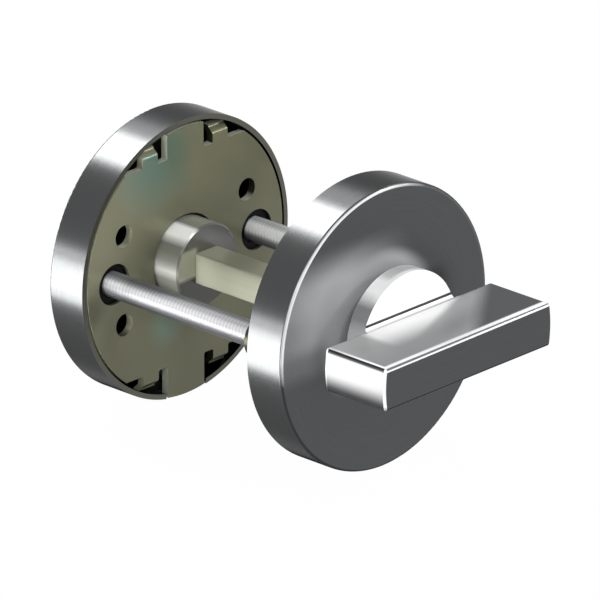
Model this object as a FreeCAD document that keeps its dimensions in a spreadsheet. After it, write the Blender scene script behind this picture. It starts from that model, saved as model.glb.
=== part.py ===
"""Thumb turn and coin release for a bathroom door, on two round roses bolted through the door.

The lock's axis is Y. The turn stands on the -Y side, where a person locks the door from inside, and
the release on the +Y side. Z is up and the turn's bar lies along X at rest. The origin is where the
axis meets the door face under the turn's rose, so the door fills Y from 0 to its thickness.
Sizes are in millimetres.
"""
import FreeCAD, Part
import math
import os
import Sketcher

doc = FreeCAD.newDocument("thumb_turn_lock")
sheet = doc.addObject("Spreadsheet::Sheet", "dims")

# Driving sizes, as word, value and what it measures
SIZES = [
    ("door_thickness", 42, "door between the two roses"),
    ("running_fit", 0.05, "radial clearance of a journal in its bore"),
    ("seat_fit", 0.05, "radial clearance of a piece seated in a hole"),
    ("axial_play", 0.1, "end play of what turns"),
    ("rose_diameter", 55, "rose cover, outside"),
    ("rose_depth", 8.5, "rose cover, from the door to its face"),
    ("rose_wall", 1, "sheet that the cover is drawn from"),
    ("rose_edge_round", 0.5, "outer edge of the cover's face"),
    ("rose_inner_bevel", 0.6, "inner corner of the drawn cover"),
    ("rose_hole_clearance", 0.4, "radial gap round what passes the cover"),
    ("notch_side_gap", 0.45, "gap beside the tongue in the rim's notch"),
    ("notch_depth", 2, "rim's notch, from the door"),
    ("plate_thickness", 1.5, "sheet of the base plate"),
    ("plate_clearance", 0.5, "gap from the plate's edge to the cover's wall"),
    ("tongue_width", 9.7, "tongues at the top and foot of the plate"),
    ("tongue_setback", 0.2, "foot tongue, short of the cover's outside"),
    ("slot_width", 2.45, "slot between a tongue and a clip tab"),
    ("tab_width", 4, "clip tab"),
    ("tab_flat", 1.46, "tab's flat stretch, from its slots to its bend"),
    ("tab_grip_gap", 0.1, "from a tab's corner to the cover's wall"),
    ("tab_offset", 1.2, "how far a tab's tip is set back"),
    ("tab_slope", 50, "degrees, slope of the set back"),
    ("tab_bow", 1, "round where a tab leaves the plate"),
    ("tab_hollow", 0.7, "round where a tab turns up to its tip"),
    ("slot_corner", 0.4, "round in the corners of slots and shoulders"),
    ("bolt_centres", 38, "between the two through bolts"),
    ("pillar_diameter", 8, "posts and bolt bushes in the plates"),
    ("screw_hole_diameter", 4.4, "wood screw holes"),
    ("screw_hole_across", 32.8, "between wood screw holes, sideways"),
    ("screw_hole_up", 17.6, "between wood screw holes, upwards"),
    ("journal_diameter", 14, "journals of the turn and the release"),
    ("bush_diameter", 24, "bearing bush, outside"),
    ("spigot_recess", 0.6, "bush ends, behind the plate's door face"),
    ("ring_thickness", 1, "retaining ring"),
    ("ring_groove_depth", 0.3, "groove in the journal"),
    ("ring_width", 2, "retaining ring, opposite its gap"),
    ("ring_lug_round", 1.6, "round of a ring's lug"),
    ("ring_lug_reach", 3.1, "ring's lugs, out from the journal"),
    ("ring_hole_diameter", 1.5, "plier hole in a lug"),
    ("ring_gap", 1.8, "between the ring's lugs"),
    ("ring_clearance", 0.4, "round the ring in its pocket"),
    ("washer_thickness", 0.5, "release's thrust washer"),
    ("washer_bore_gap", 0.1, "radial gap between a washer and the journal"),
    ("washer_edge_gap", 0.4, "radial gap round a washer"),
    ("turn_washer_proud", 0.3, "turn's washer, out of the plate"),
    ("pocket_spare", 0.4, "room beyond the ring in the bush's pocket"),
    ("boss_diameter", 25, "disc behind the turn's bar"),
    ("boss_thickness", 4, "disc behind the turn's bar"),
    ("boss_gap", 2, "from the cover's face to the disc"),
    ("boss_edge", 0.3, "chamfers of the disc and the journal"),
    ("neck_diameter", 18, "neck between the disc and the journal"),
    ("bar_length", 44.8, "turn's bar, across its rounded ends"),
    ("bar_depth", 15, "turn's bar, out from the disc"),
    ("bar_height", 8.4, "turn's bar at rest, upwards"),
    ("bar_edge_round", 0.55, "edges of the bar"),
    ("bar_root_round", 1, "hollow between the disc and the bar"),
    ("journal_reach", 5.5, "turn's journal, into the door"),
    ("turn_socket_depth", 14, "square socket in the turn"),
    ("spindle_width", 6, "square spindle, across its flats"),
    ("spindle_edge", 0.45, "rounded edges of the spindle"),
    ("spindle_end_gap", 0.5, "spindle's ends, short of the sockets"),
    ("socket_fit", 0.05, "gap on each flat of the spindle"),
    ("grub_diameter", 2.9, "grub screw in the turn's journal"),
    ("grub_setback", 0.2, "grub screw, below the journal's surface"),
    ("grub_hex", 1.5, "hexagon socket of the grub screw"),
    ("grub_hex_depth", 1.3, "hexagon socket of the grub screw"),
    ("collar_diameter", 16, "release's collar"),
    ("collar_clearance", 0.5, "radial gap from the collar to the plate"),
    ("collar_reach", 5.5, "release's collar, into the door"),
    ("collar_edge", 0.3, "chamfer of the collar's face"),
    ("release_socket_depth", 11, "square socket in the release"),
    ("button_proud", 1, "coin button, out of the cover's face"),
    ("button_edge", 0.5, "chamfer of the coin button"),
    ("coin_slot_width", 2, "coin slot"),
    ("coin_slot_depth", 1.6, "coin slot"),
    ("bolt_diameter", 4.9, "through bolt, over its thread"),
    ("bolt_fit", 0.05, "gap between the bolt's and the post's thread"),
    ("bolt_head_diameter", 8.5, "cheese head"),
    ("bolt_head_height", 3.3, "cheese head"),
    ("bolt_head_bevel", 0.7, "edge of the cheese head"),
    ("bolt_tip_chamfer", 0.6, "lead of the bolt"),
    ("bolt_engagement", 5.9, "bolt inside the post"),
    ("cross_width", 1.2, "arms of the cross recess"),
    ("cross_reach", 4.8, "cross recess, over its arms"),
    ("cross_depth", 1.8, "cross recess"),
    ("post_reach", 5.4, "post, into the door"),
    ("post_edge", 0.3, "chamfer of the post's end"),
    ("flange_diameter", 9.2, "flanges of posts and bolt bushes"),
    ("post_flange", 1.5, "flange of a post"),
    ("bolt_bush_flange", 1, "flange of a bolt bush"),
    ("bolt_bush_clearance", 0.2, "radial gap between bolt and bush"),
]
for row, (word, value, measures) in enumerate(SIZES, start=1):
    sheet.set(f"A{row}", word)
    sheet.set(f"B{row}", str(value))
    sheet.set(f"C{row}", measures)
    sheet.setAlias(f"B{row}", word)
doc.recompute()

# Places and sizes that follow from the driving ones, as formulas. On each side of the door the
# pieces are drawn in that side's own frame: y is 0 at the door face and negative away from the door.
ROSE_RADIUS = "dims.rose_diameter / 2"
ROSE_INSIDE = "(dims.rose_diameter / 2 - dims.rose_wall)"
ROSE_CEILING = "(dims.rose_depth - dims.rose_wall)"
PLATE_RADIUS = f"({ROSE_INSIDE} - dims.plate_clearance)"
PLATE_BORE = "(dims.collar_diameter / 2 + dims.collar_clearance)"
TAB_START = "(dims.tongue_width / 2 + dims.slot_width)"
TAB_TIP = f"sqrt(({ROSE_INSIDE} - dims.tab_grip_gap) ^ 2 - ({TAB_START} + dims.tab_width) ^ 2)"
TAB_CURVES = "(dims.tab_bow + dims.tab_hollow)"
TAB_STRAIGHT = f"(dims.tab_offset - {TAB_CURVES} * (1 - cos(dims.tab_slope))) / tan(dims.tab_slope)"
TAB_BEND = f"({TAB_TIP} - {TAB_CURVES} * sin(dims.tab_slope) - {TAB_STRAIGHT})"
TAB_ROOT = f"({TAB_BEND} - dims.tab_flat)"
JOURNAL = "dims.journal_diameter / 2"
RING_POCKET = "(dims.journal_diameter / 2 + dims.ring_lug_reach + dims.ring_clearance)"
RING_POCKET_DEPTH = "(dims.washer_thickness + dims.axial_play + dims.ring_thickness + dims.pocket_spare)"
THRUST_FACE = f"({ROSE_CEILING} - {RING_POCKET_DEPTH})"
BOSS_BACK = "(dims.rose_depth + dims.boss_gap)"
BOSS_FRONT = f"({BOSS_BACK} + dims.boss_thickness)"
BOLT_SEAT = "(dims.door_thickness + dims.plate_thickness + dims.bolt_bush_flange)"


def size(formula):
    """What a formula on the sheet's words gives."""
    return float(sheet.evalExpression(formula))


def new_body(label):
    body = doc.addObject("PartDesign::Body", label)
    body.Label = label
    return body


def origin_item(body, role):
    return next(item for item in body.Origin.OriginFeatures if item.Role == role)


def new_sketch(body, plane, name, offset="0"):
    """A sketch on one of the body's own planes, or that far in front of it."""
    sketch = body.newObject("Sketcher::SketchObject", name)
    sketch.AttachmentSupport = (origin_item(body, plane), [""])
    sketch.MapMode = "FlatFace"
    sketch.setExpression("AttachmentOffset.Base.z", offset)
    return sketch


def hold(sketch, item, end, x, y):
    """Hold one point of a sketch at formulas measured from the sketch's origin."""
    for kind, formula in (("DistanceX", x), ("DistanceY", y)):
        number = sketch.addConstraint(Sketcher.Constraint(kind, -1, 1, item, end, size(formula)))
        sketch.setExpression(f"Constraints[{number}]", formula)


def hold_radius(sketch, item, radius):
    number = sketch.addConstraint(Sketcher.Constraint("Radius", item, size(radius)))
    sketch.setExpression(f"Constraints[{number}]", radius)


def arc_between(start, end, radius, side):
    """The short arc from start to end, its centre to the left or right of the way there."""
    chord = end - start
    reach = math.sqrt(max(radius * radius - chord.Length ** 2 / 4, 0))
    square_on = FreeCAD.Vector(-chord.y, chord.x, 0).normalize()
    centre = (start + end) * 0.5 + square_on * (reach if side == "left" else -reach)
    circle = Part.Circle(centre, FreeCAD.Vector(0, 0, 1), radius)
    first, last = (start, end) if side == "left" else (end, start)
    angles = [math.atan2(point.y - centre.y, point.x - centre.x) for point in (first, last)]
    return Part.ArcOfCircle(circle, angles[0], angles[1])


def outline(sketch, corners):
    """A closed outline. A corner is (x, y), or (x, y, radius, side) where an arc leaves it."""
    places = [FreeCAD.Vector(size(corner[0]), size(corner[1]), 0) for corner in corners]
    count = len(corners)
    items = []
    for number, corner in enumerate(corners):
        start = places[number]
        end = places[(number + 1) % count]
        if len(corner) == 2:
            items.append((sketch.addGeometry(Part.LineSegment(start, end), False), 1, 2))
            continue
        arc = sketch.addGeometry(arc_between(start, end, size(corner[2]), corner[3]), False)
        items.append((arc, 1, 2) if corner[3] == "left" else (arc, 2, 1))
    for number, (item, begin, finish) in enumerate(items):
        following, following_begin, _ = items[(number + 1) % count]
        sketch.addConstraint(Sketcher.Constraint("Coincident", item, finish, following, following_begin))
        hold(sketch, item, begin, corners[number][0], corners[number][1])
        if len(corners[number]) > 2:
            hold_radius(sketch, item, corners[number][2])


def rectangle(sketch, left, low, right, high):
    outline(sketch, [(left, low), (right, low), (right, high), (left, high)])


def circle(sketch, x, y, radius):
    place = FreeCAD.Vector(size(x), size(y), 0)
    item = sketch.addGeometry(Part.Circle(place, FreeCAD.Vector(0, 0, 1), size(radius)), False)
    hold(sketch, item, 3, x, y)
    hold_radius(sketch, item, radius)


def revolve(body, name, corners):
    """Turn an outline of (radius, y) corners about the Y axis."""
    sketch = new_sketch(body, "XY_Plane", f"{name}_section")
    outline(sketch, corners)
    feature = body.newObject("PartDesign::Revolution", name)
    feature.Profile = sketch
    feature.ReferenceAxis = (sketch, ["V_Axis"])
    feature.Angle = 360
    doc.recompute()
    return feature


def pad(body, name, sketch, length, reverse=False):
    feature = body.newObject("PartDesign::Pad", name)
    feature.Profile = sketch
    feature.setExpression("Length", length)
    feature.Reversed = reverse
    doc.recompute()
    return feature


def pocket(body, name, sketch, length, reverse=False, midplane=False):
    """Cut a sketch into the body, and make sure that it removed something."""
    before = body.Shape.Volume
    feature = body.newObject("PartDesign::Pocket", name)
    feature.Profile = sketch
    feature.setExpression("Length", length)
    feature.Reversed = reverse
    feature.Midplane = midplane
    doc.recompute()
    if body.Shape.Volume >= before:
        raise RuntimeError(f"{body.Label}: {name} cuts nothing")
    return feature


def dress(body, kind, name, amount, wanted):
    """A fillet or chamfer on each edge of the body for which wanted(edge) holds."""
    base = body.Tip
    names = [f"Edge{number}" for number, edge in enumerate(base.Shape.Edges, start=1) if wanted(edge)]
    feature = body.newObject(f"PartDesign::{kind}", name)
    feature.Base = (base, names)
    feature.setExpression("Radius" if kind == "Fillet" else "Size", amount)
    doc.recompute()
    return feature


def put(body, x="0", y="0", turned=False):
    """Place a body, facing the other way if it belongs to the release's side."""
    if turned:
        body.Placement = FreeCAD.Placement(FreeCAD.Vector(), FreeCAD.Rotation(FreeCAD.Vector(0, 0, 1), 180))
    body.setExpression("Placement.Base.x", x)
    body.setExpression("Placement.Base.y", y)


# Rose cover: a shallow cup drawn from stainless sheet, with a hole for what turns and a notch in
# the foot of its rim, where the plate's tongue comes through and a blade lifts the cover off
def rose_cover(label, passing_radius):
    body = new_body(label)
    hole = f"({passing_radius} + dims.rose_hole_clearance)"
    revolve(body, "cup", [
        (hole, "-dims.rose_depth"),
        (f"{ROSE_RADIUS} - dims.rose_edge_round", "-dims.rose_depth", "dims.rose_edge_round", "left"),
        (ROSE_RADIUS, "-dims.rose_depth + dims.rose_edge_round"),
        (ROSE_RADIUS, "0"),
        (ROSE_INSIDE, "0"),
        (ROSE_INSIDE, f"-{ROSE_CEILING} + dims.rose_inner_bevel"),
        (f"{ROSE_INSIDE} - dims.rose_inner_bevel", f"-{ROSE_CEILING}"),
        (hole, f"-{ROSE_CEILING}"),
    ])
    notch = new_sketch(body, "XZ_Plane", "notch_outline")
    half = "(dims.tongue_width / 2 + dims.notch_side_gap)"
    rectangle(notch, f"-{half}", f"-{ROSE_RADIUS} - dims.rose_wall", half, f"-{PLATE_RADIUS} + dims.rose_wall")
    pocket(body, "notch", notch, "dims.notch_depth", reverse=True)
    return body


# Base plate: stamped from zinc plated steel, the same for both sides. Its foot tongue fills the
# cover's notch, and its four tabs are set back and grip the wall of the cover.
def base_plate(label):
    body = new_body(label)
    disc = new_sketch(body, "XZ_Plane", "disc_outline")
    circle(disc, "0", "0", PLATE_RADIUS)
    pad(body, "disc", disc, "dims.plate_thickness")

    shoulders = new_sketch(body, "XZ_Plane", "shoulder_outline")
    for side in (1, -1):
        for up in (1, -1):
            inner = f"{side} * dims.tongue_width / 2"
            outer = f"{side} * {ROSE_RADIUS}"
            root = f"{up} * {TAB_ROOT}"
            beyond = f"{up} * {ROSE_RADIUS}"
            rectangle(shoulders, inner, root, outer, beyond)
    pocket(body, "shoulders", shoulders, "dims.plate_thickness", reverse=True)

    foot = new_sketch(body, "XZ_Plane", "foot_outline")
    half = "dims.tongue_width / 2"
    reach = f"({ROSE_RADIUS} - dims.tongue_setback)"
    corner = f"-sqrt({reach} ^ 2 - (dims.tongue_width / 2) ^ 2)"
    outline(foot, [(half, f"-{TAB_ROOT}"), (f"-{half}", f"-{TAB_ROOT}"),
                   (f"-{half}", corner, reach, "left"), (half, corner)])
    pad(body, "foot_tongue", foot, "dims.plate_thickness")

    set_back_tabs(body)

    holes = new_sketch(body, "XZ_Plane", "hole_outline")
    circle(holes, "0", "0", PLATE_BORE)
    for side in (1, -1):
        circle(holes, f"{side} * dims.bolt_centres / 2", "0", "dims.pillar_diameter / 2")
        for up in (1, -1):
            circle(holes, f"{side} * dims.screw_hole_across / 2", f"{up} * dims.screw_hole_up / 2",
                   "dims.screw_hole_diameter / 2")
    pocket(body, "holes", holes, "dims.plate_thickness", reverse=True)
    return body


def set_back_tabs(body):
    """The clip tabs: pressed back from the door, so that their corners grip the cover's wall."""
    tabs = new_sketch(body, "YZ_Plane", "tab_section", offset=TAB_START)
    bow = "dims.tab_bow"
    hollow = "dims.tab_hollow"
    sine = "sin(dims.tab_slope)"
    cosine = "cos(dims.tab_slope)"
    for up in ("", "-"):
        toward, away = ("right", "left") if up else ("left", "right")

        def corner(drop, height, *arc):
            return (f"-({drop})", f"{up}({height})", *arc)

        sides = []
        for face in ("0", "dims.plate_thickness"):
            sides.append((
                corner(face, TAB_ROOT),
                corner(face, TAB_BEND),
                corner(f"{face} + {bow} * (1 - {cosine})", f"{TAB_BEND} + {bow} * {sine}"),
                corner(f"{face} + dims.tab_offset - {hollow} * (1 - {cosine})",
                       f"{TAB_TIP} - {hollow} * {sine}"),
                corner(f"{face} + dims.tab_offset", TAB_TIP),
            ))
        front, back = sides
        outline(tabs, [
            front[0], (*front[1], bow, toward), front[2], (*front[3], hollow, away),
            front[4], (*back[4], hollow, toward), back[3], (*back[2], bow, away), back[1], back[0],
        ])
    right_tabs = pad(body, "right_tabs", tabs, "dims.tab_width")
    both = body.newObject("PartDesign::Mirrored", "left_tabs")
    both.Originals = [right_tabs]
    both.MirrorPlane = (origin_item(body, "YZ_Plane"), [""])
    body.Tip = both
    doc.recompute()

    root = size(TAB_ROOT)
    beyond = size(f"{TAB_START} + dims.tab_width") + 0.1

    def slot_corner(edge):
        box = edge.BoundBox
        at_root = abs(abs(box.Center.z) - root) < 0.01 and abs(box.Center.x) < beyond
        return at_root and runs_along_y(edge)

    dress(body, "Fillet", "slot_corners", "dims.slot_corner", slot_corner)


# Bearing bush: moulded in black nylon and held between the plate and the cover. Its spigot sits in
# the plate's bore, and the pocket in its outer end takes the turn's neck or the release's ring.
def bearing_bush(label):
    body = new_body(label)
    bore = f"({JOURNAL} + dims.running_fit)"
    rim = "dims.bush_diameter / 2"
    spigot = f"({PLATE_BORE} - dims.seat_fit)"
    revolve(body, "ring", [
        (bore, "-dims.spigot_recess"),
        (bore, f"-{THRUST_FACE}"),
        (RING_POCKET, f"-{THRUST_FACE}"),
        (RING_POCKET, f"-{ROSE_CEILING}"),
        (rim, f"-{ROSE_CEILING}"),
        (rim, "-dims.plate_thickness"),
        (spigot, "-dims.plate_thickness"),
        (spigot, "-dims.spigot_recess"),
    ])
    return body


# Retaining ring: spring steel, stamped, with two lugs that pliers open
def retaining_ring(label):
    body = new_body(label)
    inside = f"({JOURNAL} - dims.ring_groove_depth)"
    lug_centre = f"({JOURNAL} + dims.ring_lug_reach - dims.ring_lug_round)"
    lug_side = "(dims.ring_gap / 2 + dims.ring_lug_round)"
    lug_drop = f"(-sqrt({lug_centre} ^ 2 - {lug_side} ^ 2))"
    band = new_sketch(body, "XZ_Plane", "band_outline")
    circle(band, "0", "0", f"{inside} + dims.ring_width")
    pad(body, "band", band, "dims.ring_thickness")
    for side in (1, -1):
        lug = new_sketch(body, "XZ_Plane", f"lug_outline_{side + 1}")
        circle(lug, f"{side} * {lug_side}", lug_drop, "dims.ring_lug_round")
        pad(body, f"lug_{side + 1}", lug, "dims.ring_thickness")
    inner = new_sketch(body, "XZ_Plane", "inner_outline")
    circle(inner, "0", "0", inside)
    for side in (1, -1):
        circle(inner, f"{side} * {lug_side}", lug_drop, "dims.ring_hole_diameter / 2")
    pocket(body, "inner", inner, "dims.ring_thickness", reverse=True)
    gap = new_sketch(body, "XZ_Plane", "gap_outline")
    rectangle(gap, "-dims.ring_gap / 2", f"-{RING_POCKET}", "dims.ring_gap / 2", "0")
    pocket(body, "gap", gap, "dims.ring_thickness", reverse=True)
    return body


# Thrust washer: steel, between a bush and its retaining ring
def thrust_washer(label, outer, thickness):
    body = new_body(label)
    bore = f"({JOURNAL} + dims.washer_bore_gap)"
    revolve(body, "ring", [(bore, "0"), (outer, "0"), (outer, f"-{thickness}"), (bore, f"-{thickness}")])
    return body


# Thumb turn: one piece of stainless steel. Its bar is milled out of the stock in front of the disc,
# and the neck and journal behind the disc are turned and grooved for the retaining ring.
def thumb_turn(label):
    body = new_body(label)
    bar = new_sketch(body, "XZ_Plane", "bar_outline", offset=BOSS_FRONT)
    end_radius = "(dims.bar_length / 2)"
    half = "dims.bar_height / 2"
    corner = f"sqrt({end_radius} ^ 2 - (dims.bar_height / 2) ^ 2)"
    outline(bar, [(f"-{corner}", f"-{half}"), (corner, f"-{half}", end_radius, "left"),
                  (corner, half), (f"-{corner}", half, end_radius, "left")])
    pad(body, "bar", bar, "dims.bar_depth")
    dress(body, "Fillet", "bar_edges", "dims.bar_edge_round", lambda edge: True)

    stock = f"({BOSS_FRONT} + dims.bar_root_round + dims.bar_edge_round)"
    boss = "dims.boss_diameter / 2"
    neck = "dims.neck_diameter / 2"
    groove = f"({JOURNAL} - dims.ring_groove_depth)"
    groove_start = "(dims.turn_washer_proud + dims.axial_play)"
    groove_end = f"({groove_start} + dims.ring_thickness + dims.axial_play)"
    edge = "dims.boss_edge"
    revolve(body, "boss", [
        ("0", f"-{stock}"),
        (boss, f"-{stock}"),
        (boss, f"-{BOSS_BACK} - {edge}"),
        (f"{boss} - {edge}", f"-{BOSS_BACK}"),
        (neck, f"-{BOSS_BACK}"),
        (neck, f"-{THRUST_FACE}"),
        (JOURNAL, f"-{THRUST_FACE}"),
        (JOURNAL, groove_start),
        (groove, groove_start),
        (groove, groove_end),
        (JOURNAL, groove_end),
        (JOURNAL, f"dims.journal_reach - {edge}"),
        (f"{JOURNAL} - {edge}", "dims.journal_reach"),
        ("0", "dims.journal_reach"),
    ])
    mill = new_sketch(body, "YZ_Plane", "mill_section")
    top = "dims.bar_height / 2"
    hollow = "dims.bar_root_round"
    for up in ("", "-"):
        side = "right" if up else "left"
        outline(mill, [
            (f"-{stock} - 1", f"{up}({top})"),
            (f"-{BOSS_FRONT} - {hollow}", f"{up}({top})", hollow, side),
            (f"-{BOSS_FRONT}", f"{up}({top} + {hollow})"),
            (f"-{BOSS_FRONT}", f"{up}({boss} + 1)"),
            (f"-{stock} - 1", f"{up}({boss} + 1)"),
        ])
    pocket(body, "milled_flats", mill, "dims.boss_diameter + 2", midplane=True)

    socket = new_sketch(body, "XZ_Plane", "socket_outline", offset="-dims.journal_reach")
    half = "(dims.spindle_width / 2 + dims.socket_fit)"
    rectangle(socket, f"-{half}", f"-{half}", half, half)
    pocket(body, "socket", socket, "dims.turn_socket_depth", reverse=True)

    screw = new_sketch(body, "XY_Plane", "screw_outline")
    circle(screw, "0", GRUB_PLACE, "dims.grub_diameter / 2 + dims.bolt_fit")
    pocket(body, "screw_hole", screw, "dims.journal_diameter", reverse=True)
    return body


# Halfway between the turn's retaining ring and the end of its journal
GRUB_PLACE = "(dims.turn_washer_proud + 2 * dims.axial_play + dims.ring_thickness + dims.journal_reach) / 2"


# Grub screw: presses on the spindle through the journal's wall
def grub_screw(label):
    body = new_body(label)
    shank = new_sketch(body, "XY_Plane", "shank_outline", offset="dims.spindle_width / 2")
    circle(shank, "0", "0", "dims.grub_diameter / 2")
    length = f"({JOURNAL} - dims.spindle_width / 2 - dims.grub_setback)"
    pad(body, "shank", shank, length)
    key = new_sketch(body, "XY_Plane", "key_outline", offset=f"{JOURNAL} - dims.grub_setback")
    reach = "dims.grub_hex / 2 / cos(30)"
    outline(key, [(f"{reach} * cos({angle})", f"{reach} * sin({angle})") for angle in range(0, 360, 60)])
    pocket(body, "key", key, "dims.grub_hex_depth")
    return body


# Spindle: square steel bar with rounded edges, from the turn's socket into the release's
def spindle(label):
    body = new_body(label)
    start = "(dims.journal_reach - dims.turn_socket_depth + dims.spindle_end_gap)"
    end = ("(dims.door_thickness - dims.collar_reach + dims.release_socket_depth"
           " - dims.spindle_end_gap)")
    section = new_sketch(body, "XZ_Plane", "section", offset=f"-{start}")
    half = "dims.spindle_width / 2"
    rectangle(section, f"-{half}", f"-{half}", half, half)
    pad(body, "bar", section, f"{end} - {start}", reverse=True)
    dress(body, "Fillet", "edges", "dims.spindle_edge", lambda edge: runs_along_y(edge))
    return body


def runs_along_y(edge):
    box = edge.BoundBox
    return box.YLength > max(box.XLength, box.ZLength)


# Release: one turned piece. The collar faces the turn and takes the spindle, the journal runs in
# the bush, and its far end is the button that a coin turns from outside.
def release_hub(label):
    body = new_body(label)
    collar = "dims.collar_diameter / 2"
    edge = "dims.collar_edge"
    groove = f"({JOURNAL} - dims.ring_groove_depth)"
    groove_start = f"({THRUST_FACE} + dims.washer_thickness + dims.axial_play)"
    groove_end = f"({groove_start} + dims.ring_thickness + dims.axial_play)"
    face = "(dims.rose_depth + dims.button_proud)"
    revolve(body, "turned", [
        ("0", "dims.collar_reach"),
        ("0", f"-{face}"),
        (f"{JOURNAL} - dims.button_edge", f"-{face}"),
        (JOURNAL, f"-{face} + dims.button_edge"),
        (JOURNAL, f"-{groove_end}"),
        (groove, f"-{groove_end}"),
        (groove, f"-{groove_start}"),
        (JOURNAL, f"-{groove_start}"),
        (JOURNAL, "-dims.spigot_recess"),
        (collar, "-dims.spigot_recess"),
        (collar, f"dims.collar_reach - {edge}"),
        (f"{collar} - {edge}", "dims.collar_reach"),
    ])
    socket = new_sketch(body, "XZ_Plane", "socket_outline", offset="-dims.collar_reach")
    half = "(dims.spindle_width / 2 + dims.socket_fit)"
    rectangle(socket, f"-{half}", f"-{half}", half, half)
    pocket(body, "socket", socket, "dims.release_socket_depth", reverse=True)
    slot = new_sketch(body, "XZ_Plane", "slot_outline", offset=face)
    rectangle(slot, f"-{JOURNAL} - 1", "-dims.coin_slot_width / 2", f"{JOURNAL} + 1", "dims.coin_slot_width / 2")
    pocket(body, "coin_slot", slot, "dims.coin_slot_depth")
    return body


# Threaded post: pressed into the turn's plate with its flange behind the sheet
def threaded_post(label):
    body = new_body(label)
    bore = "(dims.bolt_diameter / 2 + dims.bolt_fit)"
    outside = "(dims.pillar_diameter / 2 - dims.seat_fit)"
    flange = "dims.flange_diameter / 2"
    back = "(dims.plate_thickness + dims.post_flange)"
    revolve(body, "post", [
        (bore, "dims.post_reach"),
        (bore, f"-{back}"),
        (flange, f"-{back}"),
        (flange, "-dims.plate_thickness"),
        (outside, "-dims.plate_thickness"),
        (outside, "dims.post_reach - dims.post_edge"),
        (f"{outside} - dims.post_edge", "dims.post_reach"),
    ])
    return body


# Bolt bush: black nylon, keeps the bolt central in the release's plate and carries its head
def bolt_bush(label):
    body = new_body(label)
    bore = "(dims.bolt_diameter / 2 + dims.bolt_bush_clearance)"
    sleeve = "(dims.pillar_diameter / 2 - dims.seat_fit)"
    flange = "dims.flange_diameter / 2"
    back = "(dims.plate_thickness + dims.bolt_bush_flange)"
    revolve(body, "sleeve", [
        (bore, "-dims.spigot_recess"),
        (bore, f"-{back}"),
        (flange, f"-{back}"),
        (flange, "-dims.plate_thickness"),
        (sleeve, "-dims.plate_thickness"),
        (sleeve, "-dims.spigot_recess"),
    ])
    return body


# Through bolt: zinc plated steel with a cheese head and a cross recess. Its head is at y above 0.
def through_bolt(label):
    body = new_body(label)
    shank = "dims.bolt_diameter / 2"
    head = "dims.bolt_head_diameter / 2"
    bevel = "dims.bolt_head_bevel"
    length = f"({BOLT_SEAT} - dims.post_reach + dims.bolt_engagement)"
    revolve(body, "bolt", [
        ("0", f"-{length}"),
        (f"{shank} - dims.bolt_tip_chamfer", f"-{length}"),
        (shank, f"-{length} + dims.bolt_tip_chamfer"),
        (shank, "0"),
        (head, "0"),
        (head, f"dims.bolt_head_height - {bevel}"),
        (f"{head} - {bevel}", "dims.bolt_head_height"),
        ("0", "dims.bolt_head_height"),
    ])
    cross = new_sketch(body, "XZ_Plane", "cross_outline", offset="-dims.bolt_head_height")
    near = "dims.cross_width / 2"
    far = "dims.cross_reach / 2"
    corners = []
    for across, along in ((1, 0), (0, 1), (-1, 0), (0, -1)):
        for side in (-1, 1):
            x = f"{across} * {far} - {side * along} * {near}"
            z = f"{along} * {far} + {side * across} * {near}"
            corners.append((x, z))
        corners.append((f"{across - along} * {near}", f"{along + across} * {near}"))
    outline(cross, corners)
    pocket(body, "cross_recess", cross, "dims.cross_depth", reverse=True)
    return body


def build():
    """Every sub-part in its place."""
    turned = {"y": "dims.door_thickness", "turned": True}
    put(rose_cover("turn_rose_cover", "dims.neck_diameter / 2"))
    put(base_plate("turn_base_plate"))
    put(bearing_bush("turn_bush"))
    put(thumb_turn("thumb_turn"))
    washer = f"({PLATE_BORE} - dims.washer_edge_gap)"
    thickness = "(dims.spigot_recess + dims.turn_washer_proud)"
    put(thrust_washer("turn_washer", washer, thickness), y="dims.turn_washer_proud")
    ring_place = "dims.turn_washer_proud + dims.axial_play + dims.ring_thickness"
    put(retaining_ring("turn_retaining_ring"), y=ring_place)
    put(grub_screw("spindle_grub_screw"), y=GRUB_PLACE)
    put(spindle("spindle"))

    put(rose_cover("release_rose_cover", JOURNAL), **turned)
    put(base_plate("release_base_plate"), **turned)
    put(bearing_bush("release_bush"), **turned)
    put(release_hub("release_hub"), **turned)
    washer = f"({RING_POCKET} - dims.washer_edge_gap)"
    washer_place = f"dims.door_thickness + {THRUST_FACE}"
    put(thrust_washer("release_washer", washer, "dims.washer_thickness"), y=washer_place, turned=True)
    ring_place = f"{washer_place} + dims.washer_thickness + dims.axial_play"
    put(retaining_ring("release_retaining_ring"), y=ring_place, turned=True)

    for name, side in (("left", -1), ("right", 1)):
        place = f"{side} * dims.bolt_centres / 2"
        put(threaded_post(f"turn_post_{name}"), x=place)
        put(bolt_bush(f"bolt_bush_{name}"), x=place, **turned)
        put(through_bolt(f"bolt_{name}"), x=place, y=BOLT_SEAT)
    doc.recompute()


def write_parts():
    """Check the whole document, then write each body to a file of its own name."""
    for item in doc.Objects:
        if "Invalid" in item.State or "Error" in item.State:
            raise RuntimeError(f"{item.Label} is in state {item.State}")
    os.makedirs("parts", exist_ok=True)
    for body in doc.Objects:
        if body.TypeId != "PartDesign::Body":
            continue
        if body.Shape.isNull() or not body.Shape.isValid() or len(body.Shape.Solids) != 1:
            raise RuntimeError(f"{body.Label} is not one sound solid")
        body.Shape.exportStep(f"parts/{body.Label}.step")
        print(f"{body.Label}: {body.Shape.Volume:.0f} cubic mm")


build()
write_parts()
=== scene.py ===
import math

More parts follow.
